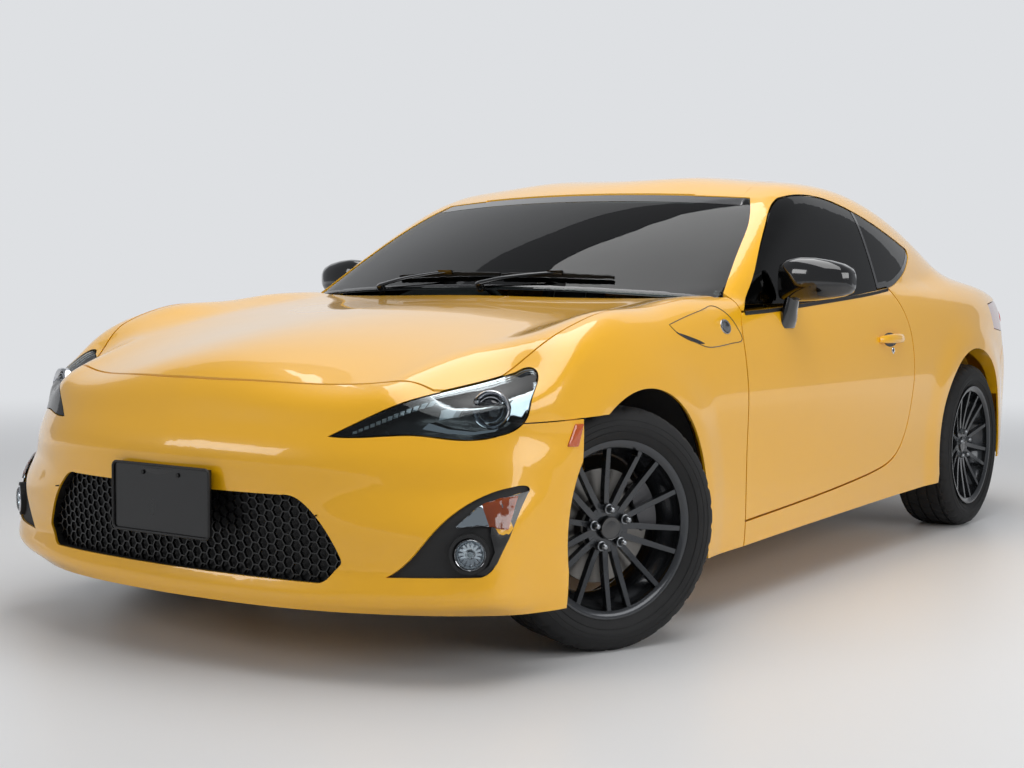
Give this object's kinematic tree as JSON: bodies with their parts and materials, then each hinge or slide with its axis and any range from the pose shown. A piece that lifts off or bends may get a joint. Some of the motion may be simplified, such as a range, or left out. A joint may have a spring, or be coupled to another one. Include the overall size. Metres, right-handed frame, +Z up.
{
  "type": "compact coupe car",
  "caption": "Compact two-door coupe with a low nose, opening doors, bonnet and boot lid, steered front wheels and free-rolling wheels",
  "frame": {"origin": "on the ground under the middle of the car, half way along its length", "axes": "+X to the car's left, +Y to its rear, +Z up; the nose points to -Y"},
  "size_m": [2.068, 4.2442, 1.3062],
  "materials": {
    "body_paint": "gloss solid yellow",
    "clear_glass": "tinted glass",
    "lamp_lens": "clear",
    "lamp_dark": "dark gloss",
    "tail_red": "red gloss",
    "black_plastic": "grained black",
    "plate_black": "blank black",
    "gloss_black": "gloss black",
    "tyre_rubber": "black rubber",
    "rim_grey": "dark grey",
    "brake_iron": "turned face",
    "bare_steel": "dark steel",
    "cast_alloy": "as cast",
    "shell_paint": "dark satin",
    "seat_leather": "black",
    "wheel_leather": "black"
  },
  "bodies": {
    "chassis": {"front_wings": "body_paint", "front_bumper": "body_paint", "roof": "body_paint", "tail_corners": "body_paint", "rear_bumper": "body_paint", "side_frame_left": "body_paint", "side_frame_right": "body_paint", "windscreen": "clear_glass", "rear_screen": "clear_glass", "quarter_glass": "clear_glass", "headlamp_lenses": "lamp_lens", "headlamp_bowls": "lamp_dark", "tail_lamps": "tail_red", "grille": "black_plastic", "fog_lamps": "black_plastic", "cowl_panel": "black_plastic", "wheel_liners": "black_plastic", "dashboard": "black_plastic", "number_plate": "plate_black", "front_suspension": "bare_steel", "rear_suspension": "bare_steel", "driveline": "bare_steel", "exhaust": "bare_steel", "engine_block": "cast_alloy", "radiator": "cast_alloy", "body_shell": "shell_paint", "front_seats": "seat_leather", "rear_seat": "seat_leather"},
    "steer_left": {"knuckle_front_left": "bare_steel"},
    "wheel_front_left": {"tyre_front_left": "tyre_rubber", "rim_front_left": "rim_grey", "brake_disc_front_left": "brake_iron"},
    "wheel_rear_left": {"tyre_rear_left": "tyre_rubber", "rim_rear_left": "rim_grey", "brake_disc_rear_left": "brake_iron"},
    "door_left": {"door_left": "body_paint", "door_glass_left": "clear_glass", "mirror_left": "gloss_black"},
    "steer_right": {"knuckle_front_right": "bare_steel"},
    "wheel_front_right": {"tyre_front_right": "tyre_rubber", "rim_front_right": "rim_grey", "brake_disc_front_right": "brake_iron"},
    "wheel_rear_right": {"tyre_rear_right": "tyre_rubber", "rim_rear_right": "rim_grey", "brake_disc_rear_right": "brake_iron"},
    "door_right": {"door_right": "body_paint", "door_glass_right": "clear_glass", "mirror_right": "gloss_black"},
    "bonnet": {"bonnet": "body_paint"},
    "boot_lid": {"boot_lid": "body_paint"},
    "steering_wheel": {"steering_wheel": "wheel_leather"}
  },
  "joints": [
    {"name": "steer_left", "type": "hinge", "parent": "chassis", "child": "steer_left", "pos_m": [0.69, -1.285, 0.19], "axis": [-0.2434, 0, 0.9699], "range_deg": [-11, 61]},
    {"name": "steer_right", "type": "hinge", "parent": "chassis", "child": "steer_right", "pos_m": [-0.69, -1.285, 0.19], "axis": [0.2434, 0, 0.9699], "range_deg": [-11, 61]},
    {"name": "spin_front_left", "type": "hinge", "parent": "steer_left", "child": "wheel_front_left", "pos_m": [0.75111, -1.32637, 0.31096], "axis": [0.9119, -0.4099, -0.0221], "continuous": true},
    {"name": "spin_front_right", "type": "hinge", "parent": "steer_right", "child": "wheel_front_right", "pos_m": [-0.75111, -1.24363, 0.31096], "axis": [0.9119, -0.4099, 0.0221], "continuous": true},
    {"name": "spin_rear_left", "type": "hinge", "parent": "chassis", "child": "wheel_rear_left", "pos_m": [0.77, 1.285, 0.3125], "axis": [1, 0, 0], "continuous": true},
    {"name": "spin_rear_right", "type": "hinge", "parent": "chassis", "child": "wheel_rear_right", "pos_m": [-0.77, 1.285, 0.3125], "axis": [1, 0, 0], "continuous": true},
    {"name": "door_left_hinge", "type": "hinge", "parent": "chassis", "child": "door_left", "pos_m": [0.841, -0.589, 0.515], "axis": [0, 0, -1], "range_deg": [0, 65]},
    {"name": "door_right_hinge", "type": "hinge", "parent": "chassis", "child": "door_right", "pos_m": [-0.841, -0.589, 0.515], "axis": [0, 0, 1], "range_deg": [0, 65]},
    {"name": "bonnet_hinge", "type": "hinge", "parent": "chassis", "child": "bonnet", "pos_m": [0, -0.74, 0.86428], "axis": [-1, 0, 0], "range_deg": [0, 50]},
    {"name": "boot_lid_hinge", "type": "hinge", "parent": "chassis", "child": "boot_lid", "pos_m": [0, 1.28, 0.972], "axis": [1, 0, 0], "range_deg": [0, 70]},
    {"name": "steering_wheel_turn", "type": "hinge", "parent": "chassis", "child": "steering_wheel", "pos_m": [-0.37, -0.33, 0.792], "axis": [0, 0.9135, 0.4067], "range_deg": [-160, 820]}
  ],
  "couplings": [
    {"joint": "steer_right", "follows": "steer_left", "ratio": 1},
    {"joint": "steering_wheel_turn", "follows": "steer_left", "ratio": 13}
  ]
}
